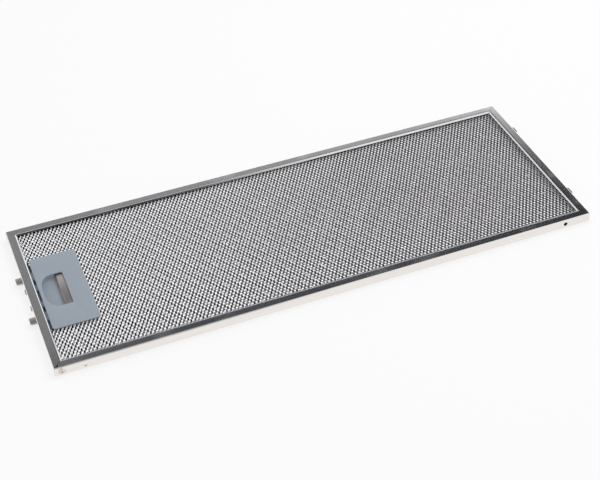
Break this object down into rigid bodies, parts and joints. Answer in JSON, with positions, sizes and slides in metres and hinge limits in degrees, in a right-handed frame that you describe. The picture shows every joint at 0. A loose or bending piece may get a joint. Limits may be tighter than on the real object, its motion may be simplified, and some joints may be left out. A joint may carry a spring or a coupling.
{
  "type": "cooker hood filter",
  "caption": "Flat rectangular metal grease filter: a folded frame round layered expanded mesh, with a sprung finger latch set in a plastic handle at one end and hook tabs at the other.",
  "frame": {"origin": "under the middle of the whole outline, tongues, hooks and rivet head included, on the plane of the back face", "axes": "+X from the latch end to the hook end, +Y across the filter away from the riveted side, +Z from the back face to the face with the finger scoop"},
  "size_m": [0.4786, 0.1764, 0.0085],
  "materials": {
    "frame": "bright, almost mirror-like strip",
    "rivet": "bright domed head",
    "front_mesh": "bright expanded metal",
    "back_mesh": "bright expanded metal",
    "inner_foil": "crimped expanded foil in shade",
    "handle_plate": "satin blue-grey moulding",
    "handle_tray": "satin blue-grey moulding",
    "latch": "plain sheet steel, brownish grey",
    "spring": "drawn wire",
    "screw": "plain",
    "hook_tab": "plain sheet steel, olive grey"
  },
  "bodies": {
    "filter": {"frame": "frame", "corner_rivet": "rivet", "front_mesh": "front_mesh", "back_mesh": "back_mesh", "inner_layer_1": "inner_foil", "inner_layer_2": "inner_foil", "inner_layer_3": "inner_foil", "inner_layer_4": "inner_foil", "inner_layer_5": "inner_foil", "handle_plate": "handle_plate", "handle_tray": "handle_tray", "latch_spring_front": "spring", "latch_spring_rear": "spring", "tray_screw_1": "screw", "tray_screw_2": "screw", "tray_screw_3": "screw", "tray_screw_4": "screw", "hook_tab_front": "hook_tab", "hook_tab_rear": "hook_tab"},
    "latch": {"latch_slider": "latch"}
  },
  "joints": [
    {"name": "latch_slide", "type": "slide", "parent": "filter", "child": "latch", "axis": [1, 0, 0], "range_m": [0, 0.0054], "stiffness_N_per_m": 500, "springref_m": -0.0065, "deforming": ["latch_spring_front", "latch_spring_rear"]}
  ]
}
